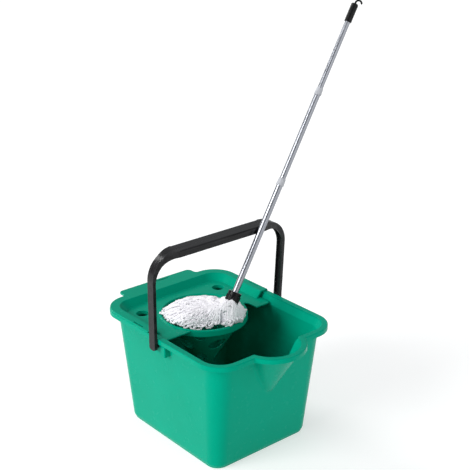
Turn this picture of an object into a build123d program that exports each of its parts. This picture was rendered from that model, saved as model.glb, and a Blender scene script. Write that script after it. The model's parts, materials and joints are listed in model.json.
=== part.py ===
"""Oblong plastic bucket with a drop-in cone wringer, a strap bail and a cotton mop on a telescopic pole.

Frame: origin at the centre of the bucket's foot, +Z up, +X towards the pouring spout. Millimetres.
The mop is drawn along its own axis, with zero at the mouth of its socket, then set leaning in the wringer.
"""
import math
import os

from build123d import *

# ---- bucket ----
HEIGHT = 265.0                      # foot to the top of the rim
BASE = (309.0, 264.0, 29.0)         # length, width and corner radius of the wall at the floor
BASE_ROUND = 11.0                   # rounding between the wall and the floor
FOOT = (303.0, 258.0, 26.0)         # standing band under the rounding
FOOT_TALL = 4.5
NECK = (363.6, 300.0, 40.0)         # the wall where it starts to flare
NECK_Z = 247.0
FLARE = (385.6, 316.6, 48.0)        # the wall where it meets the rim
RIM = (406.0, 337.0, 58.0)
RIM_THICK = 3.0
LIP_DEPTH = 10.5                    # turned-down edge of the rim
LIP_THICK = 2.6
WALL = 2.8
FOOT_THICK = 3.2
FOOT_WIDTH = 9.0                    # width of the standing band
FOOT_GROOVE = (3.0, 1.5)            # width and depth of the groove inside it
SPOUT_X = 172.6                     # centre of the spout's arc
SPOUT_R = 62.6                      # inside the spout at the rim
SPOUT_OUTER_R = 75.0
SPOUT_NOSE = (161.0, 172.0)         # x and height of the centre of the funnel's round nose
SPOUT_NOSE_R = 22.0
SPOUT_FLARE = 24.4                  # half angle of the funnel in degrees, and the lean of its axis
SPOUT_TILT = 7.2
SPOUT_CREASE_R = 8.0
BLEND_R = 5.0

# ---- bail ----
PIVOT_X = 3.0
PIVOT_Z = 246.0
PIVOT_R = 6.0
PIVOT_HEAD = (7.2, 2.5)             # radius and thickness of the head that keeps the pin in
RUNNING = 0.06                      # radial clearance of pins and sliding tubes
BOSS = (50.0, 226.0)                # length, and height of its underside
BOSS_FACE_Y = 163.0
BOSS_WALL = 3.0
BAIL_LEAN = 1.8                     # degrees towards the spout
BAIL_OUTER_Y = (176.5, 181.3)       # outer face at the pivot and at the top
BAIL_TOP = 453.0
BAIL_BEND_R = 56.0
LEG_WIDTH = 19.0
LEG_END = 7.0                       # below the pivot's centre
LEG_END_R = 5.0
GRIP_WIDTH = 34.0
GRIP_HALF = 116.0
GRIP_TAPER = 40.0                   # length over which the grip narrows to the leg
STRAP_DEPTH = (7.5, 14.5)           # leg and grip
STRAP_WALL = 2.6

# ---- wringer ----
SEAT_GAP = 0.3                      # between parts that rest on each other
FLANGE_THICK = 3.5
FLANGE_END_X = -24.0
TAB_X = -229.0                      # end of the tab behind the rim, its half width and corners
TAB_HALF = 101.0
TAB_CORNER_R = 12.0
SIDE_SLOT = (-64.0, 162.0, 32.0, 3.6)   # place, length and width of the slot in each side of the plate
TAB_SLOT = (-220.0, 4.0, 3.6, 58.0)
PAN_TOP = (366.0, 300.0, 40.0)      # mouth of the recessed tray, cut short at its front
PAN_FLOOR = (340.0, 274.0, 30.0)
FLOOR_Z = 254.0
SKIN = 2.5
FRONT_X = 9.0                       # front edge of the tray's floor, its width and corners
FRONT_WIDTH = 292.0
FRONT_CORNER_R = 9.0
NOTCH = (3.0, 86.0, 60.0, 40.0, 12.0)   # place, length, width and corners of the notch by the cone
CONE_X = -48.0
RING_R = 98.0
RING_WIDTH = 6.5
RING_TOP = 255.5
RING_BOTTOM = 241.5
CONE_SLOPE = 0.617                  # change of the cone's radius with height
CONE_BOTTOM = 130.0
HOLE_ROWS = (                       # height, width, height of the oval, angle of the first, slant
    (228.0, 22.0, 16.0, -44.3, 0.0),
    (201.0, 42.0, 30.0, -80.3, 0.0),
    (160.0, 23.0, 26.0, -44.3, 14.0),
)
HOLES_PER_ROW = 5
RIB_SPAN = (178.0, 238.0)
RIB_DEPTH = 4.0
RIB_OFFSET = 11.5                   # degrees either side of a hole of the top row
RIB_THICK = 2.2
CONE_DRAIN = (4.0, 2.6, 10.0)       # radius of the middle hole and of the five round it, their distance
DRAIN = (-127.0, 107.0, 14.0)       # place and radius of the two tray drains
DRAIN_SKIRT = 9.0                   # depth of the collar under each drain

# ---- mop ----
MOP_FOOT = (34.0, 22.6, 323.5)      # mouth of the socket
POLE_LEAN = 30.06                   # degrees from vertical, towards +Y
LOWER = (7.0, 6.45)                 # outside and inside radius of each tube
MIDDLE = (6.39, 5.84)
UPPER = (5.78, 5.23)
LOWER_SPAN = (-2.0, 253.0)
MIDDLE_SPAN = (208.0, 461.0)
UPPER_SPAN = (418.0, 655.0)
COLLAR_OVER = 9.0                   # how far a collar stands above its tube
COLLAR_UNDER = 7.0                  # how far it reaches down the outside
COLLAR_WALL = (1.7, 0.6)            # at its foot and at its head
PRESSED = 0.02                      # radial gap of parts that don't move on each other
PLUG_STEM = 2.2                     # the lock stem's radius is less than the tube's bore by this
WEDGE_LENGTH = 12.4
WEDGE_SPLIT = 1.6
SOCKET_LENGTH = 32.0
SOCKET_R = (13.4, 15.6)             # at the mouth and at the skirt
SOCKET_RIBS = 8
SCREW_R = (1.8, 3.6)                # shank and head
THREAD_R = 8.6
GRIP_SPAN = (621.0, 663.0)
GRIP_R = 7.8
HOOK_R = 6.4                        # centre line of the hanging hook
HOOK_WIRE = 2.1
HOOK_SWEEP = 160.0                  # degrees of the hook's bow
HOOK_TURN = 46.0                    # degrees about the pole from +X to the hook's open side
YARN_AT = (-36.0, -7.0)
YARN_TURN = 49.7                    # degrees from +X to the heap's long axis
YARN_SLICES = (                     # height, then centre and half size along and across the heap
    (256.0, -1.0, -3.0, 93.0, 60.0),
    (268.0, 4.0, -7.0, 86.0, 52.0),
    (278.0, 14.0, -12.0, 72.0, 43.0),
    (286.0, 26.0, -18.0, 54.0, 34.0),
    (292.0, 38.0, -25.0, 34.0, 24.0),
)
YARN_PLUG = (                       # the part of the heap inside the cone
    (228.0, -5.0, 6.0, 30.0, 22.0),
    (241.0, -4.0, 2.0, 58.0, 42.0),
    (257.0, -2.0, -2.0, 80.0, 54.0),
)


def rounded(size, z):
    """A rounded rectangle of (length, width, corner radius) at height z."""
    length, width, radius = size
    return Pos(0, 0, z) * RectangleRounded(length, width, radius)


def shrunk(size, by):
    length, width, radius = size
    return (length - 2 * by, width - 2 * by, radius - by)


def tub(z_low, by, z_high):
    """The bucket's flared body, drawn in by a distance, rounded at the floor, from z_low to z_high."""
    lower = loft([rounded(shrunk(BASE, by), z_low), rounded(shrunk(NECK, by), NECK_Z)])
    lower = fillet(lower.edges().filter_by(lambda e: e.bounding_box().max.Z < z_low + 0.01), BASE_ROUND - by)
    upper = loft([rounded(shrunk(NECK, by), NECK_Z), rounded(shrunk(FLARE, by), z_high)])
    return lower + upper


def spout(by, z_high):
    """Round-nosed half-funnel under the pouring lip; only the part outside the wall matters."""
    nose = SPOUT_NOSE_R - by
    flare = math.radians(SPOUT_FLARE)
    low = -nose * math.sin(flare)
    high = 120.0
    high_r = (nose + high * math.sin(flare)) / math.cos(flare)
    funnel = Pos(0, 0, (low + high) / 2) * Cone(nose * math.cos(flare), high_r, high - low)
    funnel += Sphere(nose)
    funnel = Pos(SPOUT_NOSE[0], 0, SPOUT_NOSE[1]) * Rot(0, SPOUT_TILT, 0) * funnel
    return funnel & Pos(SPOUT_X, 0, z_high - 100) * Box(300, 200, 200)


def spouted_tub(z_low, by, z_high):
    """The body with the spout run into it, the crease between them rounded."""
    body = tub(z_low, by, z_high) + spout(by, z_high)
    crease = [
        e for e in body.edges()
        if e.center().X > BASE[0] / 2 and abs(e.center().Y) < SPOUT_R - 10 and e.bounding_box().size.Z > 4
    ]
    return fillet(crease, SPOUT_CREASE_R + by)


def plan(size, radius, blend):
    """Outline of the rim with the arc of the spout blended into it."""
    outline = RectangleRounded(*size) + Pos(SPOUT_X, 0) * Circle(radius)
    edge_x = size[0] / 2
    corners = [v for v in outline.vertices() if abs(v.X - edge_x) < 0.5 and 40 < abs(v.Y) < 80]
    return fillet(corners, blend)


def handle_boss(side):
    """Hollow pad under the rim that carries one end of the bail, open underneath."""
    length, foot_z = BOSS
    depth = 20.0
    height = HEIGHT - RIM_THICK - foot_z
    block = Pos(PIVOT_X, side * (BOSS_FACE_Y - depth / 2), foot_z + height / 2) * Box(length, depth, height)
    outer = block.edges().filter_by(Axis.Z).sort_by(Axis.Y)
    block = fillet(outer[2:] if side > 0 else outer[:2], 3)
    hollow = Box(length - 2 * BOSS_WALL, depth, height)
    place = Pos(PIVOT_X, side * (BOSS_FACE_Y - BOSS_WALL - depth / 2), foot_z + height / 2 - BOSS_WALL)
    return block, place * hollow


def make_rim():
    """Flat rim with its turned-down lip, the arc of the spout included."""
    rim = extrude(Pos(0, 0, HEIGHT - RIM_THICK) * plan(RIM, SPOUT_OUTER_R, BLEND_R), RIM_THICK)
    lip = extrude(Pos(0, 0, HEIGHT - LIP_DEPTH) * plan(RIM, SPOUT_OUTER_R, BLEND_R), LIP_DEPTH)
    lip_core = plan(shrunk(RIM, LIP_THICK), SPOUT_OUTER_R - LIP_THICK, BLEND_R + LIP_THICK)
    lip -= extrude(Pos(0, 0, HEIGHT - LIP_DEPTH) * lip_core, LIP_DEPTH - RIM_THICK)
    rim += lip
    top_edges = rim.edges().filter_by(lambda e: e.bounding_box().min.Z > HEIGHT - 0.01)
    return fillet(top_edges, 1.8)


def make_bucket():
    rim_z = HEIGHT - RIM_THICK
    body = spouted_tub(0, 0, rim_z)
    for side in (-1, 1):
        block, hollow = handle_boss(side)
        body += block - hollow
    body += make_rim()
    inside = spouted_tub(FOOT_THICK, WALL, rim_z)
    inside += extrude(Pos(0, 0, rim_z) * plan(shrunk(FLARE, WALL), SPOUT_R, BLEND_R - 2), 2 * RIM_THICK)
    body -= inside
    body += extrude(rounded(FOOT, 0) - rounded(shrunk(FOOT, FOOT_WIDTH), 0), FOOT_TALL) - inside
    groove = rounded(shrunk(FOOT, FOOT_WIDTH), 0) - rounded(shrunk(FOOT, FOOT_WIDTH + FOOT_GROOVE[0]), 0)
    body -= extrude(groove, FOOT_GROOVE[1])
    for side in (-1, 1):
        hole = Rot(90, 0, 0) * Cylinder(PIVOT_R + RUNNING, 3 * BOSS_WALL)
        body -= Pos(PIVOT_X, side * (BOSS_FACE_Y - BOSS_WALL / 2), PIVOT_Z) * hole
    return body


def strap(depth_index, grow):
    """Side view of the bail's strap as a band in the YZ plane, with its inner side moved by grow."""
    foot_y, top_y = BAIL_OUTER_Y
    foot_z = PIVOT_Z - LEG_END
    outline = Polygon(
        (-foot_y, foot_z), (foot_y, foot_z), (top_y, BAIL_TOP), (-top_y, BAIL_TOP), align=None
    )
    outline = fillet([v for v in outline.vertices() if v.Y > PIVOT_Z + 50], BAIL_BEND_R)
    depth = STRAP_DEPTH[depth_index] + grow
    side = STRAP_DEPTH[0] + grow
    core = Polygon(
        (side - foot_y, foot_z - 1), (foot_y - side, foot_z - 1),
        (top_y - side, BAIL_TOP - depth), (side - top_y, BAIL_TOP - depth), align=None
    )
    core = fillet([v for v in core.vertices() if v.Y > PIVOT_Z + 50], BAIL_BEND_R - STRAP_DEPTH[0])
    return outline, core


def bail_plan(by):
    """The bail seen from above: slim legs and a broad grip, drawn in by a distance."""
    leg = LEG_WIDTH / 2 - by
    grip = GRIP_WIDTH / 2 - by
    far = 200.0
    taper = GRIP_HALF + GRIP_TAPER
    return Polygon(
        (leg, far), (leg, taper), (grip, GRIP_HALF), (grip, -GRIP_HALF), (leg, -taper), (leg, -far),
        (-leg, -far), (-leg, -taper), (-grip, -GRIP_HALF), (-grip, GRIP_HALF), (-leg, taper),
        (-leg, far), align=None
    )


def make_bail():
    outline, core = strap(1, 0)
    band = extrude(Plane.YZ * (outline - core), 30, both=True)
    body = band & extrude(bail_plan(0), 600, both=True)
    feet = [e for e in body.edges().filter_by(Axis.Y) if e.center().Z < PIVOT_Z - LEG_END + 0.1]
    body = fillet(feet, LEG_END_R)
    rails = [
        e for e in body.edges()
        if e.center().Z > BAIL_TOP - 0.1 and abs(e.center().X) > LEG_WIDTH / 2 - 0.1
        and e.bounding_box().size.Y > 100
    ]
    body = fillet(rails, 3.0)
    inner = offset(outline, -STRAP_WALL)
    channel = extrude(Plane.YZ * inner, 30, both=True) & extrude(bail_plan(STRAP_WALL), 600, both=True)
    channel &= Pos(0, 0, PIVOT_Z + 22 + 200) * Box(60, 600, 400)
    body -= channel
    leg_face = BAIL_OUTER_Y[0] - STRAP_DEPTH[0]
    head_face = BOSS_FACE_Y - BOSS_WALL - 0.5
    pin_end = head_face - PIVOT_HEAD[1]
    for side in (-1, 1):
        pin = Rot(90, 0, 0) * Cylinder(PIVOT_R, leg_face + 1.5 - pin_end)
        body += Pos(0, side * (leg_face + 1.5 + pin_end) / 2, PIVOT_Z) * pin
        head = Rot(90, 0, 0) * Cylinder(*PIVOT_HEAD)
        body += Pos(0, side * (head_face + pin_end) / 2, PIVOT_Z) * head
    return Pos(PIVOT_X, 0, PIVOT_Z) * Rot(0, BAIL_LEAN, 0) * Pos(0, 0, -PIVOT_Z) * body


def behind(x):
    """Everything of the wringer that lies behind one place along the bucket."""
    return Pos(x - 150, 0, 250) * Box(300, 400, 400)


def flange():
    """The wringer's top plate: it covers the back of the rim and ends in a tab behind it."""
    low_z = HEIGHT + SEAT_GAP
    outline = RectangleRounded(RIM[0] - 2, RIM[1] - 2, RIM[2] - 1)
    root_x = FLANGE_END_X - RIM[0] / 4 - TAB_CORNER_R * 2
    tab = Pos((TAB_X + root_x) / 2, 0) * RectangleRounded(root_x - TAB_X, 2 * TAB_HALF, TAB_CORNER_R)
    outline += tab
    inner_corners = [
        v for v in outline.vertices() if abs(v.X + RIM[0] / 2 - 1) < 0.6 and abs(abs(v.Y) - TAB_HALF) < 1
    ]
    outline = fillet(inner_corners, 8)
    plate = extrude(Pos(0, 0, low_z) * outline, FLANGE_THICK)
    top_edges = plate.edges().filter_by(lambda e: e.bounding_box().min.Z > low_z + FLANGE_THICK - 0.01)
    plate = fillet(top_edges, 1.4)
    return plate & behind(FLANGE_END_X)


def pan(by, z_floor, z_top):
    """Tapered basin of the tray; by draws it in by the skin's thickness."""
    return loft([rounded(shrunk(PAN_FLOOR, by), z_floor), rounded(shrunk(PAN_TOP, by), z_top)])


def tray_floor():
    """Recessed floor with its front edge and the notch beside the cone on the far side."""
    length = FRONT_X + PAN_FLOOR[0] / 2
    outline = Pos(FRONT_X - length / 2, 0) * Rectangle(length, PAN_FLOOR[1])
    back = [v for v in outline.vertices() if v.X < 0]
    outline = fillet(back, PAN_FLOOR[2])
    outline += Pos((FRONT_X + FLANGE_END_X - 10) / 2, 0) * Rectangle(FRONT_X - FLANGE_END_X + 10, FRONT_WIDTH)
    outline = fillet([v for v in outline.vertices() if v.X > FRONT_X - 0.1], FRONT_CORNER_R)
    return outline - Pos(NOTCH[0], NOTCH[1]) * RectangleRounded(*NOTCH[2:])


def cone_inner(z):
    """Radius of the inside of the cone at one height."""
    return RING_R - RING_WIDTH - CONE_SLOPE * (RING_TOP - z)


def radial_hole(z, angle, width, height, slant):
    """Oval cutter that points out of the cone at one height and angle."""
    cutter = extrude(Ellipse(width / 2, height / 2), 100)
    aim = Pos(CONE_X, 0, z) * Rot(0, 0, angle) * Pos(cone_inner(z) / 2, 0, 0)
    return aim * Rot(slant, 0, 0) * Rot(0, 90, 0) * Rot(0, 0, 90) * cutter


def ring_and_cone():
    """Channel-shaped ring and the tapered sieve that hangs from its inner edge, holes not yet cut."""
    lip = RING_R - RING_WIDTH
    across = SKIN * math.sqrt(1 + CONE_SLOPE**2)
    web_z = RING_TOP - SKIN
    floor_z = CONE_BOTTOM + SKIN
    section = Polygon(
        (RING_R, RING_BOTTOM), (RING_R, RING_TOP), (lip, RING_TOP), (cone_inner(floor_z), floor_z),
        (0, floor_z), (0, CONE_BOTTOM), (cone_inner(CONE_BOTTOM) + across, CONE_BOTTOM),
        (cone_inner(web_z) + across, web_z), (RING_R - SKIN, web_z), (RING_R - SKIN, RING_BOTTOM), align=None
    )
    body = revolve(Plane.XZ * section, Axis.Z)
    crest = body.edges().filter_by(lambda e: e.bounding_box().min.Z > RING_TOP - 0.01)
    return Pos(CONE_X, 0, 0) * fillet(crest, 2.4)


def rib_blade():
    """One upright rib inside the cone, following its taper."""
    low, high = RIB_SPAN
    root = SKIN / 2
    blade = Polygon(
        (cone_inner(low) + root, low), (cone_inner(high) + root, high),
        (cone_inner(high) - RIB_DEPTH / 2, high - 3), (cone_inner(low) - RIB_DEPTH, low + 6), align=None
    )
    return extrude(Plane.XZ * blade, RIB_THICK / 2, both=True)


def make_cone():
    """Ring and cone with three rows of oval holes, pairs of ribs and a drained bottom."""
    body = ring_and_cone()
    for z, width, height, first, slant in HOLE_ROWS:
        for i in range(HOLES_PER_ROW):
            body -= radial_hole(z, first + 360 / HOLES_PER_ROW * i, width, height, slant)
    for i in range(HOLES_PER_ROW):
        for side in (-1, 1):
            angle = HOLE_ROWS[0][3] + 360 / HOLES_PER_ROW * i + side * RIB_OFFSET
            body += Pos(CONE_X, 0, 0) * Rot(0, 0, angle) * rib_blade()
    middle_r, outer_r, away = CONE_DRAIN
    bottom = Pos(CONE_X, 0, CONE_BOTTOM)
    body -= bottom * Cylinder(middle_r, 20)
    for i in range(HOLES_PER_ROW):
        body -= bottom * Rot(0, 0, 360 / HOLES_PER_ROW * i) * Pos(away, 0, 0) * Cylinder(outer_r, 20)
    return body


def make_wringer():
    top = HEIGHT + SEAT_GAP + FLANGE_THICK
    body = flange()
    basin = pan(0, FLOOR_Z - SKIN, HEIGHT + SEAT_GAP)
    body += basin & behind(FLANGE_END_X)
    body -= pan(SKIN, FLOOR_Z, top + 0.01) & behind(FLANGE_END_X + 40)
    body += extrude(Pos(0, 0, FLOOR_Z - SKIN) * tray_floor(), SKIN)
    body -= Pos(CONE_X, 0, FLOOR_Z) * Cylinder(RING_R - 0.5, 60)
    body += make_cone()
    for side in (-1, 1):
        drain = Pos(DRAIN[0], side * DRAIN[1], FLOOR_Z - DRAIN_SKIRT / 2)
        body += drain * Cylinder(DRAIN[2] + SKIN, DRAIN_SKIRT)
        body -= drain * Cylinder(DRAIN[2], 2 * DRAIN_SKIRT)
        body -= Pos(SIDE_SLOT[0], side * SIDE_SLOT[1], top) * Box(*SIDE_SLOT[2:], 12)
    body -= Pos(TAB_SLOT[0], TAB_SLOT[1], top) * Box(*TAB_SLOT[2:], 12)
    return body


def along(s, shape):
    """Place a shape at a station of the mop's own axis."""
    return Pos(0, 0, s) * shape


def tube(radii, span):
    outer, inner = radii
    length = span[1] - span[0]
    return along((span[0] + span[1]) / 2, Cylinder(outer, length) - Cylinder(inner, length))


def lock_collar(tube_radii, next_radii, tube_end):
    """Ferrule over the end of a tube, flared downwards, that guides the next tube."""
    low = tube_end - COLLAR_UNDER
    high = tube_end + COLLAR_OVER
    outer = tube_radii[0]
    body = along((low + high) / 2, Cone(outer + COLLAR_WALL[0], outer + COLLAR_WALL[1], high - low))
    rims = body.edges().filter_by(GeomType.CIRCLE)
    body = fillet(rims, 0.4)
    body -= along((low + tube_end) / 2, Cylinder(outer + PRESSED, tube_end - low))
    body -= along(high, Cylinder(next_radii[0] + RUNNING, 4 * COLLAR_OVER))
    return body


def lock_plug(radii, tube_end):
    """Plug pressed into a tube's lower end, with a slim stem and an end flange for the wedge ring."""
    outer, inner = radii
    body = along(tube_end + 6.0, Cylinder(inner - PRESSED / 2, 14.0))
    body += along(tube_end - 1.5, Cylinder(outer - 0.25, 2.9))
    body += along(tube_end - 9.0, Cylinder(inner - PLUG_STEM, 18.0))
    body += along(tube_end - 17.0, Cylinder(outer - 0.7, 2.0))
    return body


def lock_wedge(outer_tube, radii, tube_end):
    """Split ring round the plug's stem that grips the tube outside it."""
    stem = radii[1] - PLUG_STEM
    bore = outer_tube[1]
    ring = Cylinder(bore - RUNNING, WEDGE_LENGTH) - Cylinder(stem + RUNNING, WEDGE_LENGTH)
    ring -= Pos(bore, 0, 0) * Box(2 * bore, WEDGE_SPLIT, WEDGE_LENGTH)
    for turn in (90, 180, 270):
        ring -= Rot(0, 0, turn) * Pos(bore, 0, 0) * Box(0.9, 1.4, WEDGE_LENGTH)
    return along(tube_end - 9.4, ring)


def make_socket():
    """Moulded cup that the pole screws into; its skirt covers the bound end of the yarn."""
    body = along(-SOCKET_LENGTH / 2, Cone(SOCKET_R[1], SOCKET_R[0], SOCKET_LENGTH))
    body += along(-3.5, Cylinder(SOCKET_R[0] + 1.1, 7.0))
    rib = Pos(SOCKET_R[0] + 0.6, 0, 0) * Box(3.0, 3.2, SOCKET_LENGTH - 12)
    for i in range(SOCKET_RIBS):
        body += along(-SOCKET_LENGTH / 2 - 2, Rot(0, 0, 360 / SOCKET_RIBS * i + 10) * rib)
    body = body - along(-13.0, Cylinder(THREAD_R + 0.9, 26.0))
    ends = body.edges().filter_by(GeomType.CIRCLE).sort_by(Axis.Z)
    body = chamfer(ends[-2:], 0.6)
    body -= along(-SOCKET_LENGTH, Cylinder(2.2, 20))
    body -= along(-SOCKET_LENGTH, Cylinder(SOCKET_R[1] - 3.0, 8.0))
    return body


def make_thread_plug():
    """Threaded end of the pole, pressed into the lower tube."""
    body = along(6.4, Cylinder(LOWER[1] - PRESSED / 2, 17.0))
    body += along(-12.5, Cylinder(THREAD_R - 1.0, 21.0))
    for i in range(5):
        body += along(-20.0 + 3.8 * i, Cylinder(THREAD_R + 0.6, 1.6))
    return body


def make_clamp_plate():
    """Disc that holds the middle of the yarn hank up into the socket."""
    top = -SOCKET_LENGTH + 3.6
    disc = along(top - 1.2, Cylinder(SOCKET_R[1] - 3.5, 2.4))
    return disc - along(top, Cylinder(1.9, 10))


def make_clamp_screw():
    top = -SOCKET_LENGTH + 3.6
    shank = along(top + 0.6, Cylinder(SCREW_R[0], 6.4))
    head = along(top - 2.4 - 1.1, Cylinder(SCREW_R[1], 2.2))
    slot = along(top - 2.4 - 2.2, Box(5.6, 0.9, 1.6))
    return shank + head - slot


def make_grip():
    low, high = GRIP_SPAN
    body = along((low + high) / 2, Cylinder(GRIP_R, high - low))
    ends = body.edges().filter_by(GeomType.CIRCLE).sort_by(Axis.Z)
    body = fillet(ends[-1:], 3.5)
    body = fillet(body.edges().filter_by(GeomType.CIRCLE).sort_by(Axis.Z)[:1], 1.2)
    body -= along((low + UPPER_SPAN[1]) / 2, Cylinder(UPPER[0] + PRESSED, UPPER_SPAN[1] - low))
    body -= along(high, Cylinder(HOOK_WIRE + PRESSED, 12))
    return body


def make_hook():
    """Hanging hook: a stem in the end of the grip and an arm that curls over to one side."""
    low = GRIP_SPAN[1] - 5.5
    stem_end = GRIP_SPAN[1] + 3.0
    stem = along((low + stem_end) / 2, Cylinder(HOOK_WIRE, stem_end - low))
    turn_axis = Axis((HOOK_R, 0, stem_end), (0, 1, 0))
    bow = revolve(along(stem_end, Circle(HOOK_WIRE)), turn_axis, HOOK_SWEEP)
    rest = math.radians(180 - HOOK_SWEEP)
    tip = Pos(HOOK_R + HOOK_R * math.cos(rest), 0, stem_end + HOOK_R * math.sin(rest))
    return Rot(0, 0, HOOK_TURN) * (stem + bow + tip * Sphere(HOOK_WIRE))


def heap_slice(z, along_heap, across_heap, half_length, half_width):
    """Level oval slice of the yarn heap."""
    place = Pos(YARN_AT[0], YARN_AT[1], z) * Rot(0, 0, YARN_TURN) * Pos(along_heap, across_heap)
    return place * Ellipse(half_length, half_width)


def make_yarn():
    """Plain closed solid of the yarn heap: a mound above the ring and a plug inside the cone."""
    mound = loft([heap_slice(*row) for row in YARN_SLICES])
    plug = loft([heap_slice(*row) for row in YARN_PLUG])
    socket_space = Cylinder(SOCKET_R[1] + 0.6, SOCKET_LENGTH + 9)
    screw_space = Cylinder(4.5, 8.0)
    heap = mound + plug
    heap -= set_mop(along(-SOCKET_LENGTH / 2 + 4, socket_space))
    return heap - set_mop(along(-SOCKET_LENGTH, screw_space))


def set_mop(shape):
    """Lean a part of the mop from its own axis into the wringer."""
    return Pos(*MOP_FOOT) * Rot(-POLE_LEAN, 0, 0) * shape


def save(name, shape):
    shape = shape.solids()[0] if len(shape.solids()) == 1 else shape
    export_step(shape, f"parts/{name}.step")


def main():
    os.makedirs("parts", exist_ok=True)
    save("bucket_shell", make_bucket())
    save("bail_handle", make_bail())
    save("wringer_insert", make_wringer())
    mop = {
        "mop_socket": make_socket(),
        "pole_thread_plug": make_thread_plug(),
        "yarn_clamp_plate": make_clamp_plate(),
        "yarn_clamp_screw": make_clamp_screw(),
        "lower_tube": tube(LOWER, LOWER_SPAN),
        "middle_tube": tube(MIDDLE, MIDDLE_SPAN),
        "upper_tube": tube(UPPER, UPPER_SPAN),
        "lower_lock_collar": lock_collar(LOWER, MIDDLE, LOWER_SPAN[1]),
        "upper_lock_collar": lock_collar(MIDDLE, UPPER, MIDDLE_SPAN[1]),
        "middle_lock_plug": lock_plug(MIDDLE, MIDDLE_SPAN[0]),
        "upper_lock_plug": lock_plug(UPPER, UPPER_SPAN[0]),
        "middle_lock_wedge": lock_wedge(LOWER, MIDDLE, MIDDLE_SPAN[0]),
        "upper_lock_wedge": lock_wedge(MIDDLE, UPPER, UPPER_SPAN[0]),
        "handle_grip": make_grip(),
        "hanging_hook": make_hook(),
    }
    for name, shape in mop.items():
        save(name, set_mop(shape))
    save("mop_yarn", make_yarn())


main()
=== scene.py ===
"""Looks of the mop and bucket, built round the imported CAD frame. Metres.

The CAD nodes keep their shapes and get their finishes here. The yarn is made here as single strands.
"""
import json
import math

import bpy
import numpy as np
from mathutils import Matrix, Vector


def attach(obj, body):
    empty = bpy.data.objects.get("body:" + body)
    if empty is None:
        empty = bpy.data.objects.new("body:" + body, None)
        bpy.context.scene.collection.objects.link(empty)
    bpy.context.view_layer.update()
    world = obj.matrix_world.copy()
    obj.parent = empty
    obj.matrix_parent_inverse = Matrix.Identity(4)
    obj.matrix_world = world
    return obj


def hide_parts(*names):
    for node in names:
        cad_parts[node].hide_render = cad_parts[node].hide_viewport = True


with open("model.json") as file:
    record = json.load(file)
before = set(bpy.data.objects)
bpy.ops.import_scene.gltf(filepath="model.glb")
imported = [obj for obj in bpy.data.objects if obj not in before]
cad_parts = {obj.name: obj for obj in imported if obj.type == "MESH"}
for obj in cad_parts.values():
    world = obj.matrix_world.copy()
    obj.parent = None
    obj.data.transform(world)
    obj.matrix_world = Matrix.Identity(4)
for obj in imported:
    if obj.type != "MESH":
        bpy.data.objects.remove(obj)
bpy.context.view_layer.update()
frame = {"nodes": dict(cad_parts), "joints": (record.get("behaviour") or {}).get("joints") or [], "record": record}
NODES = frame["nodes"]
SLOT_OF = {part["node"]: part["material_slot"] for part in frame["record"]["subparts"]}
JOINTS = {joint["name"]: joint for joint in frame["joints"]}
MM = 0.001

# ---- camera ----
CAMERA_AT = Vector((1.61555, -1.32176, 1.27471))
CAMERA_AZIMUTH = 49.66      # degrees from +Y towards -X
CAMERA_PITCH = 21.57        # degrees below the horizon
CAMERA_ROLL = 0.11
LENS = 81.95                # millimetres, as is the sensor's width
SENSOR_WIDTH = 36.0

# ---- studio ----
FLOOR_SIZE = 400
FLOOR_TONE = (0.62, 0.62, 0.62)
FLOOR_GLOW = 0.48           # keeps the shadow on the floor pale
SKY = (0.95, 0.98, 1.0)
SKY_STRENGTH = 0.42
# Suns: name, direction they shine from, strength, width in degrees.
SUNS = (
    ("key", (-0.12, -0.93, 0.38), 2.15, 30),
    ("fill", (0.9, 0.1, 0.35), 0.8, 50),
    ("back", (-0.8, -0.15, 0.5), 1.3, 20),
)
SOFTBOX_AT = (-0.6, -1.9, 1.5)
SOFTBOX_AIM = (0, 0, 0.25)
SOFTBOX_SIZE = (0.35, 1.1)
SOFTBOX_WATTS = 9
BEVEL_SAMPLES = 4

# ---- colours, linear ----
BUCKET_GREEN = (0.0, 0.300, 0.190)
# lighter green painted along sharp edges as a highlight
BUCKET_GREEN_EDGE_HIGHLIGHT = (0.0, 0.40, 0.27)
BUCKET_GREEN_DEEP = (0.0, 0.268, 0.163)
WRINGER_GREEN = (0.0, 0.285, 0.176)
GREEN_SHEEN = (0.06, 1.0, 0.85)
BAIL_GREY = (0.007, 0.007, 0.0075)
BAIL_LINE = (0.020, 0.020, 0.022)
# paler tone mixed in along sharp edges
BAIL_PALE_EDGE = (0.06, 0.06, 0.063)
BLACK = (0.003, 0.003, 0.0035)
DARK = (0.02, 0.02, 0.022)
ACETAL = (0.52, 0.52, 0.50)
COLLAR_GREY = (0.40, 0.41, 0.44)
SILVER = (0.30, 0.31, 0.34)
ZINC = (0.55, 0.56, 0.58)
COTTON = (0.96, 0.95, 0.97)
COTTON_SHADE = (0.88, 0.86, 0.90)
# darker lilac painted into the twist's grooves as painted shade
COTTON_GROOVE_SHADE = (0.66, 0.63, 0.71)
COTTON_FLUFF = (0.90, 0.89, 0.92)

# ---- yarn heap: millimetres in the heap's own plan, s along its long axis, t away from the pole's foot ----
HEAP_AT = (-36.0, -7.0)
HEAP_TURN = 49.7
HEAP_MIDDLE = (0.0, -5.0)
HEAP_EDGE_Z = 258.0
HEAP_OUTLINE = (
    (-95, 7), (-84, -32), (-54, -65), (-18, -60), (14, -53), (36, -50), (48, -61), (62, -63), (77, -51),
    (86, -33), (90, -12), (88, 8), (79, 22), (54, 38), (22, 50), (-10, 58), (-44, 55), (-66, 48), (-83, 30),
)
# Height of the crest at places along the heap.
HEAP_CREST = (
    (-97, 264), (-75, 271), (-43, 280), (10, 287), (35, 297), (48, 313), (64, 315), (78, 298), (96, 277),
)
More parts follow.
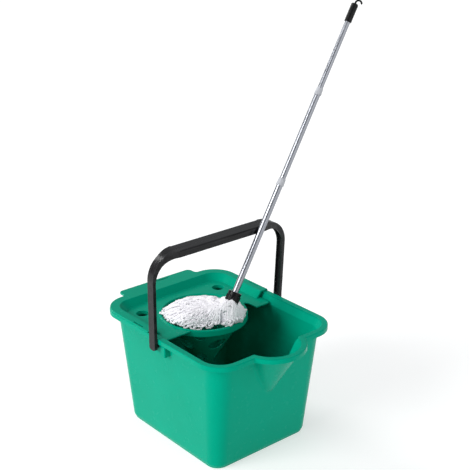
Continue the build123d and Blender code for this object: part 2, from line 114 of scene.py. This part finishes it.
# Round the heap by degrees: width of its rounded edge, and height of the foot of that edge.
EDGE_WIDTH = (
    (-180, 36), (-120, 30), (-75, 22), (-58, 12), (-46, 9),
    (-30, 9), (-10, 14), (20, 26), (60, 42), (180, 36),
)
EDGE_Z = ((-180, 258), (-75, 258), (-50, 274), (-30, 277), (-8, 272), (20, 264), (60, 258), (180, 258))
CONE_MIDDLE = (-2.4, 13.7)
RING_INNER_R = 87.0         # beyond this, strands keep above the wringer's ring
RING_CLEAR_Z = 258.8        # lowest centre line of a strand that lies over the ring
FAR_FALL = 0.34             # the socket's end of the heap falls away from the pole by this slope
FALL_FROM = 14.0            # where along the heap that fall starts, and the length it takes to be full
FALL_OVER = 40.0
DEEPEST = 12.0              # strands hang no further than this below the heap's edge
SOCKET_AT = (55.7, -44.5)   # where the pole's line enters the heap
CORE_SHARE = 0.9            # the core's size against the heap's
CORE_UNDER = 11.0           # depth of the core below the heap's top
CORE_FLOOR = 1.0            # height of the core's foot above the heap's edge
CORE_BELLY = 18.0           # how far the core's middle hangs below its foot
CORE_THICK = 2.0            # least thickness of the core
CORE_TURNS = 72             # points round the core, and rings from its middle to its rim
CORE_RINGS = 12
# The core is painted darker than the strands, as painted shade under them.
CORE_TONE = 0.8
CORE_GROOVE_SHADE = 0.9

# ---- strands, millimetres ----
STRANDS = 240
SEED = 7
LAYERS = 4
LAYER_DROP = 2.8            # each layer lies this much under the one above
LAYER_SHIFT = 0.37          # share of the fan by which one layer is turned against the next
SHARE_JITTER = 0.006
STRAND_R = 2.2
STRAND_SIZES = (0.88, 1.1)  # range of a strand's size against that radius
STRAND_LOBES = 3            # plies
LOBE_DEPTH = 0.2            # how far a ply stands out, as a share of the radius
STRAND_SIDES = 9
STRAND_STEP = 2.4           # run between two rings
STRAND_PITCH = 20.0         # run of one full twist
SWELL = 0.09                # share by which a strand's thickness varies, then the run of one wave
SWELL_RUN = (17, 30)
FRAY = 1.12                 # thickening of the cut end
PLAN_POINTS = 60
PLAN_STEP = 0.5
GUIDE_JITTER = (1.0, 1.6, 2.0)  # how far astray the last three guide places are
CUT_SPREAD = (-1, 12)       # how unevenly the long strands are cut
CUT_BY_LAYER = 1.2          # each lower layer ends this much further in
TUCKED_SHARE = 0.41         # strands up to this share of the fan turn under the heap
TUCKED_BY_LAYER = 1.6       # the same for the tucked strands
TUCK_TURN = 0.62            # part of half a turn
TUCK_R = (7, 12)            # range of the radius of that turn
STRAIGHT_RUN = 8            # a strand starts to sway here and sways fully this much further on
SWAY_FADE = 30
SWAY = ((1.3, 34, 60), (0.5, 14, 24))   # size, and the range of the run of one wave
RIPPLE = ((0.7, 27), (0.2, 9))          # the same upwards, with one run
DROOP_RUN = 14              # the last stretch of a strand droops by a size in the range below
DROOP = (0, 3)
# Fan of the strands: share of the way round, then four places in the plan from the socket to the cut end.
FAN = (
    (0.00, (58, -34), (62, -6), (60, 18), (54, 38)),
    (0.04, (60, -36), (70, -16), (76, 4), (79, 21)),
    (0.08, (63, -39), (76, -24), (85, -6), (88, 7)),
    (0.13, (64, -42), (77, -32), (86, -20), (90, -11)),
    (0.18, (65, -45), (76, -42), (83, -36), (86, -32)),
    (0.24, (63, -50), (70, -54), (75, -53), (77, -51)),
    (0.29, (58, -53), (61, -59), (62, -62), (62, -64)),
    (0.34, (54, -53), (54, -58), (53, -61), (52, -62)),
    (0.40, (50, -48), (46, -50), (42, -52), (38, -52)),
    (0.45, (48, -46), (40, -42), (28, -49), (12, -54)),
    (0.53, (47, -45), (34, -36), (6, -51), (-22, -60)),
    (0.62, (47, -44), (26, -34), (-14, -50), (-54, -64)),
    (0.71, (47, -43), (18, -30), (-28, -40), (-76, -45)),
    (0.78, (47, -41), (12, -18), (-40, -20), (-88, -18)),
    (0.84, (48, -39), (8, -4), (-44, 0), (-95, 6)),
    (0.90, (49, -37), (8, 14), (-46, 22), (-86, 26)),
    (0.95, (51, -35), (14, 26), (-30, 44), (-64, 48)),
    (0.975, (53, -34), (26, 16), (0, 44), (-20, 57)),
    (1.00, (56, -33), (44, 6), (32, 34), (22, 50)),
)


def make_camera():
    data = bpy.data.cameras.new("camera")
    data.lens = LENS
    data.sensor_width = SENSOR_WIDTH
    camera = bpy.data.objects.new("camera", data)
    bpy.context.scene.collection.objects.link(camera)
    turn = Matrix.Rotation(math.radians(CAMERA_AZIMUTH), 4, "Z")
    tilt = Matrix.Rotation(math.radians(90 - CAMERA_PITCH), 4, "X")
    roll = Matrix.Rotation(math.radians(CAMERA_ROLL), 4, "Z")
    camera.matrix_world = Matrix.Translation(CAMERA_AT) @ turn @ tilt @ roll
    bpy.context.scene.camera = camera


def make_sun(name, from_direction, strength, softness):
    """A broad distant light; softness is its width in degrees."""
    data = bpy.data.lights.new(name, "SUN")
    data.energy = strength
    data.angle = math.radians(softness)
    lamp = bpy.data.objects.new(name, data)
    bpy.context.scene.collection.objects.link(lamp)
    lamp.rotation_euler = (-Vector(from_direction)).to_track_quat("-Z", "Y").to_euler()


def make_softbox(name, at, target, size, power):
    """A small tall light whose reflection shows on glossy edges."""
    data = bpy.data.lights.new(name, "AREA")
    data.shape = "RECTANGLE"
    data.size, data.size_y = size
    data.energy = power
    lamp = bpy.data.objects.new(name, data)
    bpy.context.scene.collection.objects.link(lamp)
    lamp.location = at
    lamp.rotation_euler = (Vector(target) - Vector(at)).to_track_quat("-Z", "Y").to_euler()


def make_floor():
    bpy.ops.mesh.primitive_plane_add(size=FLOOR_SIZE, location=(0, 0, 0))
    floor = bpy.context.object
    floor.name = "floor"
    mat = bpy.data.materials.new("floor_white")
    mat.use_nodes = True
    shader = mat.node_tree.nodes["Principled BSDF"]
    shader.inputs["Base Color"].default_value = (*FLOOR_TONE, 1)
    shader.inputs["Roughness"].default_value = 0.9
    shader.inputs["Specular IOR Level"].default_value = 0.1
    shader.inputs["Emission Color"].default_value = (1, 1, 1, 1)
    shader.inputs["Emission Strength"].default_value = FLOOR_GLOW
    floor.data.materials.append(mat)


def make_studio():
    bpy.context.scene.view_settings.view_transform = "Standard"
    make_floor()
    world = bpy.data.worlds.new("world")
    bpy.context.scene.world = world
    world.use_nodes = True
    background = world.node_tree.nodes["Background"]
    background.inputs["Color"].default_value = (*SKY, 1)
    background.inputs["Strength"].default_value = SKY_STRENGTH
    for sun in SUNS:
        make_sun(*sun)
    make_softbox("window", SOFTBOX_AT, SOFTBOX_AIM, SOFTBOX_SIZE, SOFTBOX_WATTS)


# ---- materials ----

class Finish:
    """A procedural material under construction: the Principled shader and the nodes that feed it."""

    def __init__(self, name, roughness, metallic=0.0, specular=0.5):
        self.mat = bpy.data.materials.new(name)
        self.mat.use_nodes = True
        self.nodes = self.mat.node_tree.nodes
        self.links = self.mat.node_tree.links
        self.shader = self.nodes["Principled BSDF"]
        self.shader.inputs["Metallic"].default_value = metallic
        self.shader.inputs["Roughness"].default_value = roughness
        self.shader.inputs["Specular IOR Level"].default_value = specular
        self.where = self.nodes.new("ShaderNodeTexCoord").outputs["Object"]

    def join(self, out, into):
        self.links.new(out, into)

    def place(self, scale=(1, 1, 1), turn=(0, 0, 0)):
        """Object coordinates, turned by degrees and then stretched."""
        spin = self.nodes.new("ShaderNodeMapping")
        spin.inputs["Rotation"].default_value = [math.radians(a) for a in turn]
        self.join(self.where, spin.inputs["Vector"])
        stretch = self.nodes.new("ShaderNodeMapping")
        stretch.inputs["Scale"].default_value = scale
        self.join(spin.outputs["Vector"], stretch.inputs["Vector"])
        return stretch.outputs["Vector"]

    def noise(self, size, detail=3.0, rough=0.55, scale=(1, 1, 1), turn=(0, 0, 0)):
        """Noise whose features are about this many metres across."""
        node = self.nodes.new("ShaderNodeTexNoise")
        node.inputs["Scale"].default_value = 1 / size
        node.inputs["Detail"].default_value = detail
        node.inputs["Roughness"].default_value = rough
        self.join(self.place(scale, turn), node.inputs["Vector"])
        return node.outputs["Fac"]

    def remap(self, value, low, high, to_low, to_high):
        """The value with the range low to high stretched to a new range and clamped to it."""
        node = self.nodes.new("ShaderNodeMapRange")
        for key, number in (("From Min", low), ("From Max", high), ("To Min", to_low), ("To Max", to_high)):
            node.inputs[key].default_value = number
        self.join(value, node.inputs["Value"])
        return node.outputs["Result"]

    def times(self, a, b):
        node = self.nodes.new("ShaderNodeMath")
        node.operation = "MULTIPLY"
        self.join(a, node.inputs[0])
        self.join(b, node.inputs[1])
        return node.outputs["Value"]

    def mix(self, amount, first, second):
        """Colour mix; each end is a colour or another node's output."""
        node = self.nodes.new("ShaderNodeMix")
        node.data_type = "RGBA"
        self.join(amount, node.inputs["Factor"])
        for socket, end in ((node.inputs[6], first), (node.inputs[7], second)):
            if isinstance(end, tuple):
                socket.default_value = (*end, 1)
            else:
                self.join(end, socket)
        return node.outputs[2]

    def edges(self, radius):
        """One near an edge that is sharper than the radius, zero elsewhere."""
        bevel = self.nodes.new("ShaderNodeBevel")
        bevel.samples = BEVEL_SAMPLES
        bevel.inputs["Radius"].default_value = radius
        flat = self.nodes.new("ShaderNodeNewGeometry")
        dot = self.nodes.new("ShaderNodeVectorMath")
        dot.operation = "DOT_PRODUCT"
        self.join(bevel.outputs["Normal"], dot.inputs[0])
        self.join(flat.outputs["Normal"], dot.inputs[1])
        return self.remap(dot.outputs["Value"], 0.995, 0.86, 0.0, 1.0)

    def colour(self, out):
        self.join(out, self.shader.inputs["Base Color"])

    def roughness(self, value, low, high):
        """Roughness that drifts between two limits with a noise."""
        self.join(self.remap(value, 0.3, 0.7, low, high), self.shader.inputs["Roughness"])

    def bump(self, value, height, strength=1.0, round_edges=0.0):
        """Bump of this many metres, over edges softened by a radius."""
        node = self.nodes.new("ShaderNodeBump")
        node.inputs["Distance"].default_value = height
        node.inputs["Strength"].default_value = strength
        self.join(value, node.inputs["Height"])
        if round_edges:
            bevel = self.nodes.new("ShaderNodeBevel")
            bevel.samples = BEVEL_SAMPLES
            bevel.inputs["Radius"].default_value = round_edges
            self.join(bevel.outputs["Normal"], node.inputs["Normal"])
        self.join(node.outputs["Normal"], self.shader.inputs["Normal"])


def moulded_green(name, colour, gloss):
    """Polypropylene: slow drift of tone, a patchy painted highlight along sharp edges, fine moulding texture and
    small scuffs.
    """
    finish = Finish(name, gloss, specular=0.06)
    finish.shader.inputs["Specular Tint"].default_value = (*GREEN_SHEEN, 1)
    drift = finish.remap(finish.noise(0.12, 2.0), 0.35, 0.7, 0.0, 0.55)
    base = finish.mix(drift, colour, BUCKET_GREEN_DEEP)
    patchy = finish.remap(finish.noise(0.006, 4.0), 0.35, 0.62, 0.15, 0.8)
    # Painted highlight: a lighter green mixed in along sharp edges, in patches.
    pale_edges = finish.times(finish.edges(0.0016), patchy)
    finish.colour(finish.mix(pale_edges, base, BUCKET_GREEN_EDGE_HIGHLIGHT))
    finish.roughness(finish.noise(0.018, 5.0, 0.65), gloss - 0.06, gloss + 0.1)
    finish.bump(finish.noise(0.004, 2.0), 0.00002, 0.4, round_edges=0.0012)
    return finish.mat


def bail_plastic():
    """Black moulding with faint lines along the strap, paler in patches along sharp edges."""
    finish = Finish("bail_black_moulding", 0.22, specular=0.2)
    lines = finish.noise(0.0016, 1.0, 0.5, scale=(1, 0.02, 0.12))
    streaks = finish.remap(lines, 0.42, 0.6, 0.0, 0.7)
    base = finish.mix(streaks, BAIL_GREY, BAIL_LINE)
    patchy = finish.remap(finish.noise(0.005, 4.0), 0.35, 0.65, 0.1, 0.7)
    # A paler tone mixed in along sharp edges, in patches.
    pale_edges = finish.times(finish.edges(0.0012), patchy)
    finish.colour(finish.mix(pale_edges, base, BAIL_PALE_EDGE))
    finish.roughness(finish.noise(0.012, 5.0, 0.6), 0.17, 0.3)
    finish.bump(lines, 0.00018, 0.6, round_edges=0.0009)
    return finish.mat


def black_plastic(name, colour, gloss):
    """Fine spark-eroded grain, paler in patches along sharp edges."""
    finish = Finish(name, gloss, specular=0.17)
    pale = tuple(0.03 + 1.6 * c for c in colour)
    # A paler tone mixed in along sharp edges, in patches.
    pale_edges = finish.times(finish.edges(0.0007), finish.remap(finish.noise(0.004, 4.0), 0.3, 0.65, 0.1, 0.8))
    finish.colour(finish.mix(pale_edges, colour, pale))
    finish.roughness(finish.noise(0.006, 4.0), gloss - 0.06, gloss + 0.12)
    finish.bump(finish.noise(0.0006, 2.0), 0.00003, 0.6, round_edges=0.0005)
    return finish.mat


def pale_plastic(name, colour, gloss):
    """Light grey moulding with slow clouding."""
    finish = Finish(name, gloss, specular=0.5)
    shade = tuple(0.8 * c for c in colour)
    finish.colour(finish.mix(finish.remap(finish.noise(0.009, 4.0), 0.35, 0.65, 0.0, 0.6), colour, shade))
    finish.roughness(finish.noise(0.004, 4.0), gloss - 0.05, gloss + 0.1)
    finish.bump(finish.noise(0.0008, 2.0), 0.00002, 0.5, round_edges=0.0004)
    return finish.mat


def pole_metal():
    """Drawn and anodised tube: hairlines along its length, a few dull handled patches."""
    finish = Finish("anodised_tube", 0.26, metallic=1.0)
    lean = math.degrees(math.acos(JOINTS["middle_slide"]["axis"][2]))
    hairs = finish.noise(0.0007, 2.0, 0.6, scale=(1, 1, 0.01), turn=(lean, 0, 0))
    dull = tuple(0.8 * c for c in SILVER)
    finish.colour(finish.mix(finish.remap(hairs, 0.35, 0.65, 0.0, 0.5), SILVER, dull))
    finish.roughness(finish.noise(0.03, 5.0, 0.65), 0.2, 0.36)
    finish.bump(hairs, 0.00001, 0.5, round_edges=0.0004)
    return finish.mat


def zinc_steel():
    """Dull zinc plate with a fine spangle."""
    finish = Finish("zinc_plate", 0.4, metallic=0.9)
    finish.colour(finish.mix(finish.noise(0.0015, 4.0), ZINC, tuple(0.75 * c for c in ZINC)))
    finish.roughness(finish.noise(0.001, 3.0), 0.32, 0.5)
    finish.bump(finish.noise(0.0004, 2.0), 0.00001, 0.5)
    return finish.mat


def cotton():
    """Carded cotton: each strand its own tone, painted shade in the twist's grooves, with a soft fuzz."""
    finish = Finish("cotton_yarn", 0.92, specular=0.15)
    finish.shader.inputs["Sheen Weight"].default_value = 0.25
    finish.shader.inputs["Sheen Roughness"].default_value = 0.5
    tone = finish.nodes.new("ShaderNodeAttribute")
    tone.attribute_name = "tone"
    base = finish.mix(finish.remap(tone.outputs["Fac"], 0.0, 1.0, 0.0, 0.4), COTTON, COTTON_SHADE)
    groove_shade = finish.nodes.new("ShaderNodeAttribute")
    groove_shade.attribute_name = "groove_shade"
    # Painted shade in the grooves of the twist.
    base = finish.mix(finish.remap(groove_shade.outputs["Fac"], 0.0, 1.0, 0.0, 0.55), base, COTTON_GROOVE_SHADE)
    fluff = finish.noise(0.0009, 4.0, 0.7)
    finish.colour(finish.mix(finish.remap(fluff, 0.4, 0.7, 0.0, 0.22), base, COTTON_FLUFF))
    finish.roughness(finish.noise(0.003), 0.86, 1.0)
    finish.bump(fluff, 0.00035, 0.8)
    return finish.mat


def dress_nodes():
    """Give each carried-over CAD node the finish of its material slot."""
    finishes = {
        "bucket_plastic": moulded_green("bucket_green", BUCKET_GREEN, 0.21),
        "wringer_plastic": moulded_green("wringer_green", WRINGER_GREEN, 0.20),
        "bail_plastic": bail_plastic(),
        "black_plastic": black_plastic("black_moulding", BLACK, 0.28),
        "dark_plastic": black_plastic("dark_moulding", DARK, 0.5),
        "lock_plastic": pale_plastic("natural_acetal", ACETAL, 0.4),
        "collar_plastic": pale_plastic("collar_grey", COLLAR_GREY, 0.32),
        "pole_metal": pole_metal(),
        "zinc_steel": zinc_steel(),
    }
    for name, node in NODES.items():
        if SLOT_OF[name] in finishes:
            node.data.materials.clear()
            node.data.materials.append(finishes[SLOT_OF[name]])


# ---- yarn ----

def heap_polar():
    """The outline as angle in degrees against radius about the heap's middle, closed on itself."""
    points = np.array(HEAP_OUTLINE, float) - HEAP_MIDDLE
    angle = np.degrees(np.arctan2(points[:, 1], points[:, 0]))
    radius = np.hypot(points[:, 0], points[:, 1])
    order = np.argsort(angle)
    angle, radius = angle[order], radius[order]
    return np.r_[angle - 360, angle, angle + 360], np.r_[radius, radius, radius]


POLAR = heap_polar()


def outline_radius(angle):
    """Smoothed radius of the outline at some angles in degrees."""
    spread = (-8, -4, 0, 4, 8)
    return sum(np.interp(angle + d, *POLAR) for d in spread) / len(spread)


def heap_top(s, t):
    """Height of the heap's top surface."""
    ds, dt = s - HEAP_MIDDLE[0], t - HEAP_MIDDLE[1]
    angle = np.degrees(np.arctan2(dt, ds))
    inward = np.maximum(outline_radius(angle) - np.hypot(ds, dt), 0)
    width = np.interp(angle, *zip(*EDGE_WIDTH))
    rise = np.sqrt(1 - (1 - np.minimum(inward / width, 1)) ** 2)
    crest = np.interp(s, *zip(*HEAP_CREST))
    falling = np.clip((s - FALL_FROM) / FALL_OVER, 0, 1)
    crest = crest - FAR_FALL * np.maximum(t - SOCKET_AT[1], 0) * falling
    edge = np.interp(angle, *zip(*EDGE_Z))
    return edge + (crest - edge) * rise


def to_frame(points):
    """From the heap's plan in millimetres to the shared frame in metres."""
    turn = math.radians(HEAP_TURN)
    along = np.array((math.cos(turn), math.sin(turn)))
    across = np.array((-math.sin(turn), math.cos(turn)))
    plan = points[:, :1] * along + points[:, 1:2] * across + HEAP_AT
    return np.c_[plan, points[:, 2]] * MM


def even_steps(path, step):
    """The same path with points at even distances, and the run to each point."""
    run = np.r_[0, np.cumsum(np.linalg.norm(np.diff(path, axis=0), axis=1))]
    places = np.linspace(0, run[-1], max(int(run[-1] / step), 6))
    return np.c_[[np.interp(places, run, path[:, i]) for i in range(path.shape[1])]].T, places


def fan_at(share):
    """The four guide places of a strand at a share of the way round the fan."""
    shares = [row[0] for row in FAN]
    guides = np.array([row[1:] for row in FAN], float)
    return np.array([[np.interp(share, shares, guides[:, k, i]) for i in (0, 1)] for k in range(4)])


def through(places):
    """Smooth plan curve through four places."""
    gaps = np.linalg.norm(np.diff(places, axis=0), axis=1)
    knots = np.r_[0, np.cumsum(gaps)] / gaps.sum()
    u = np.linspace(0, 1, PLAN_POINTS)
    curve = np.zeros((PLAN_POINTS, 2))
    for k in range(4):
        others = [knots[j] for j in range(4) if j != k]
        weight = np.prod([(u - o) / (knots[k] - o) for o in others], axis=0)
        curve += weight[:, None] * places[k]
    return curve


def strand_plan(share, layer, rng):
    """The strand seen from above, led a little astray and cut unevenly, and the run to each point."""
    places = fan_at(share)
    places[1] += rng.normal(0, GUIDE_JITTER[0], 2)
    places[2] += rng.normal(0, GUIDE_JITTER[1], 2)
    reach = places[3] - places[2]
    reach = reach / max(np.linalg.norm(reach), 1.0)
    if share < TUCKED_SHARE:
        pull_in = TUCKED_BY_LAYER * layer
    else:
        pull_in = rng.uniform(*CUT_SPREAD) * (1 - layer / (2 * LAYERS)) + CUT_BY_LAYER * layer
    places[3] += rng.normal(0, GUIDE_JITTER[2], 2) - reach * pull_in
    return even_steps(through(places), PLAN_STEP)


def strand_path(share, layer, rng):
    """Centre line of one strand from under the socket over the heap to its cut end."""
    plan, run = strand_plan(share, layer, rng)
    phase = rng.uniform(0, 2 * math.pi, 4)
    sway = np.zeros(len(run))
    for (size, short, long), start in zip(SWAY, phase[:2]):
        sway += size * np.sin(run / rng.uniform(short, long) * 2 * math.pi + start)
    sway *= np.clip((run - STRAIGHT_RUN) / SWAY_FADE, 0, 1)
    ahead = np.gradient(plan, axis=0)
    side = np.c_[-ahead[:, 1], ahead[:, 0]] / np.linalg.norm(ahead, axis=1)[:, None]
    plan = plan + side * sway[:, None]
    z = heap_top(plan[:, 0], plan[:, 1]) - STRAND_R - LAYER_DROP * layer
    for (size, wave), start in zip(RIPPLE, phase[2:]):
        z += size * np.sin(run / wave * 2 * math.pi + start)
    droop = np.maximum(1 - (run[-1] - run) / DROOP_RUN, 0) ** 2
    path = np.c_[plan, z - droop * rng.uniform(*DROOP)]
    if share < TUCKED_SHARE:
        path = tuck_under(path, rng)
    return keep_off_ring(path)


def tuck_under(path, rng):
    """Carry a tucked strand on over the edge and back under the heap."""
    end = path[-1]
    inward = np.array(HEAP_MIDDLE) - end[:2]
    inward /= np.linalg.norm(inward)
    turn = np.linspace(0, math.pi * TUCK_TURN, 8)[1:]
    size = rng.uniform(*TUCK_R)
    curl = [(*(end[:2] + inward * size * (1 - math.cos(a))), end[2] - size * math.sin(a)) for a in turn]
    return np.vstack([path, curl])


def keep_off_ring(path):
    """Lift a path over the wringer's ring, and stop it hanging too deep inside the cone."""
    away = np.hypot(path[:, 0] - CONE_MIDDLE[0], path[:, 1] - CONE_MIDDLE[1])
    lowest = np.where(away > RING_INNER_R, RING_CLEAR_Z, HEAP_EDGE_Z - DEEPEST)
    path[:, 2] = np.maximum(path[:, 2], lowest)
    return path


def strand_rings(path, rng):
    """Ring points of a three-ply strand along a path, and how much painted shade each point gets from lying deep
    in the twist.
    """
    path, run = even_steps(path, STRAND_STEP)
    ahead = np.gradient(path, axis=0)
    ahead /= np.linalg.norm(ahead, axis=1)[:, None]
    side = np.cross(ahead, (0.0, 0.0, 1.0))
    side /= np.maximum(np.linalg.norm(side, axis=1), 1e-6)[:, None]
    upward = np.cross(side, ahead)
    around = np.arange(STRAND_SIDES) / STRAND_SIDES * 2 * math.pi
    swell = 1 + SWELL * np.sin(run / rng.uniform(*SWELL_RUN) * 2 * math.pi + rng.uniform(0, 6))
    swell[-2:] *= FRAY
    lobe = 1 + LOBE_DEPTH * np.cos(STRAND_LOBES * around)
    # painted shade: one in the grooves between the plies, zero on their crowns
    groove_shade = (1 - np.cos(STRAND_LOBES * around)) / 2
    size = STRAND_R * rng.uniform(*STRAND_SIZES)
    angle = around[None, :] + (run / STRAND_PITCH * 2 * math.pi + rng.uniform(0, 6))[:, None]
    radius = size * swell[:, None] * lobe[None, :]
    flat = radius * np.cos(angle)
    high = radius * np.sin(angle)
    rings = path[:, None, :] + flat[..., None] * side[:, None, :] + high[..., None] * upward[:, None, :]
    return rings, np.broadcast_to(groove_shade, rings.shape[:2])


def add_tube(rings, points, faces):
    """Append a closed tube's points and faces."""
    count, sides = rings.shape[:2]
    first = sum(len(p) for p in points)
    points.append(rings.reshape(-1, 3))
    for i in range(count - 1):
        for k in range(sides):
            a = first + i * sides + k
            b = first + i * sides + (k + 1) % sides
            faces.append((a, b, b + sides, a + sides))
    faces.append(tuple(first + k for k in reversed(range(sides))))
    faces.append(tuple(first + (count - 1) * sides + k for k in range(sides)))


def mesh_piece(name, points, faces, material):
    """A smooth-shaded piece from points in metres."""
    mesh = bpy.data.meshes.new(name)
    mesh.from_pydata([tuple(p) for p in points], [], faces)
    mesh.update()
    mesh.polygons.foreach_set("use_smooth", [True] * len(mesh.polygons))
    mesh.materials.append(material)
    piece = bpy.data.objects.new(name, mesh)
    bpy.context.scene.collection.objects.link(piece)
    return piece


def set_values(piece, name, values):
    """Give each point a number that the yarn's material reads."""
    layer = piece.data.attributes.new(name, "FLOAT", "POINT")
    layer.data.foreach_set("value", np.asarray(values, np.float32))


def make_strands(material):
    """All the strands as one piece, the lowest layer first, with a tone for each strand."""
    rng = np.random.default_rng(SEED)
    points, faces, tones, groove_shades = [], [], [], []
    for i in range(STRANDS):
        layer = LAYERS - 1 - i * LAYERS // STRANDS
        place = (i * LAYERS / STRANDS + LAYER_SHIFT * layer) % 1
        share = min(max(place + rng.normal(0, SHARE_JITTER), 0), 1)
        rings, groove_shade = strand_rings(strand_path(share, layer, rng), rng)
        add_tube(rings, points, faces)
        count = rings.shape[0] * rings.shape[1]
        tones.append(np.full(count, rng.uniform()))
        groove_shades.append(groove_shade.reshape(-1))
    piece = mesh_piece("mop_yarn_strands", to_frame(np.vstack(points)), faces, material)
    set_values(piece, "tone", np.concatenate(tones))
    set_values(piece, "groove_shade", np.concatenate(groove_shades))
    return piece


def make_yarn_core(material):
    """Packed yarn under the loose strands, rounded above and hanging a little into the cone."""
    turns, rings = CORE_TURNS, CORE_RINGS
    angle = np.linspace(-180, 180, turns, endpoint=False)
    points, faces = [], []
    for sheet in (1, -1):
        for i in range(rings):
            share = (i + 1) / rings * CORE_SHARE
            reach = outline_radius(angle) * share
            s = HEAP_MIDDLE[0] + reach * np.cos(np.radians(angle))
            t = HEAP_MIDDLE[1] + reach * np.sin(np.radians(angle))
            top = heap_top(s, t) - CORE_UNDER
            low = HEAP_EDGE_Z + CORE_FLOOR - CORE_BELLY * (1 - share**2)
            z = np.maximum(top, low + CORE_THICK) if sheet > 0 else np.full(turns, low)
            points.append(np.c_[s, t, z])
    for sheet in (0, 1):
        for i in range(rings - 1):
            for k in range(turns):
                a = (sheet * rings + i) * turns + k
                b = (sheet * rings + i) * turns + (k + 1) % turns
                quad = (a, a + turns, b + turns, b)
                faces.append(quad if sheet == 0 else quad[::-1])
    rim, under = (rings - 1) * turns, (2 * rings - 1) * turns
    for k in range(turns):
        n = (k + 1) % turns
        faces.append((rim + k, under + k, under + n, rim + n))
    faces.append(tuple(range(turns)))
    faces.append(tuple(rings * turns + k for k in reversed(range(turns))))
    piece = mesh_piece("mop_yarn_core", to_frame(np.vstack(points)), faces, material)
    # Painted shade under the strands: the dark end of the tone and nearly the full groove shade.
    set_values(piece, "tone", np.full(len(piece.data.vertices), CORE_TONE))
    set_values(piece, "groove_shade", np.full(len(piece.data.vertices), CORE_GROOVE_SHADE))
    return piece


def make_yarn():
    """Strands and core ride on the mop and stand in for the plain CAD yarn."""
    material = cotton()
    for piece in (make_strands(material), make_yarn_core(material)):
        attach(piece, "mop_lower_section")
        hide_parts("mop_yarn")


make_camera()
make_studio()
dress_nodes()
make_yarn()
